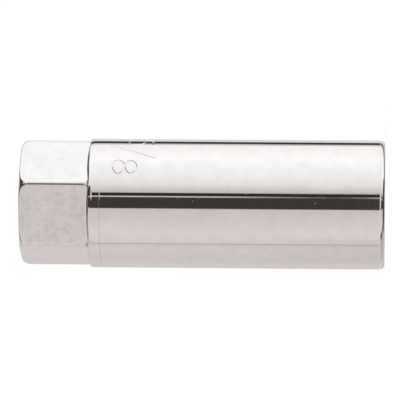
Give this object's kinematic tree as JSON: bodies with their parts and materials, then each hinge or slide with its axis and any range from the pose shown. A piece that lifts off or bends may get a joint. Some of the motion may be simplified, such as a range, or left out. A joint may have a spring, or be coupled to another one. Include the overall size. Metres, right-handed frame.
{
  "type": "spark plug socket",
  "caption": "Deep spark plug socket: a round chromed barrel, open at the plug end, with a rubber insert that grips the plug, and a wrench hexagon with a square drive hole at the other end.",
  "frame": {"origin": "centre of the open end, where the socket stands", "axes": "+Z along the socket's axis from the open plug end to the drive end; one flat of each hexagon faces -Y"},
  "size_m": [0.0222, 0.0222, 0.0626],
  "materials": {
    "chromed_steel": "polished steel with bright chrome plate",
    "black_rubber": "moulded, matt"
  },
  "bodies": {
    "root": {"socket_body": "chromed_steel", "rubber_insert": "black_rubber"}
  },
  "joints": []
}
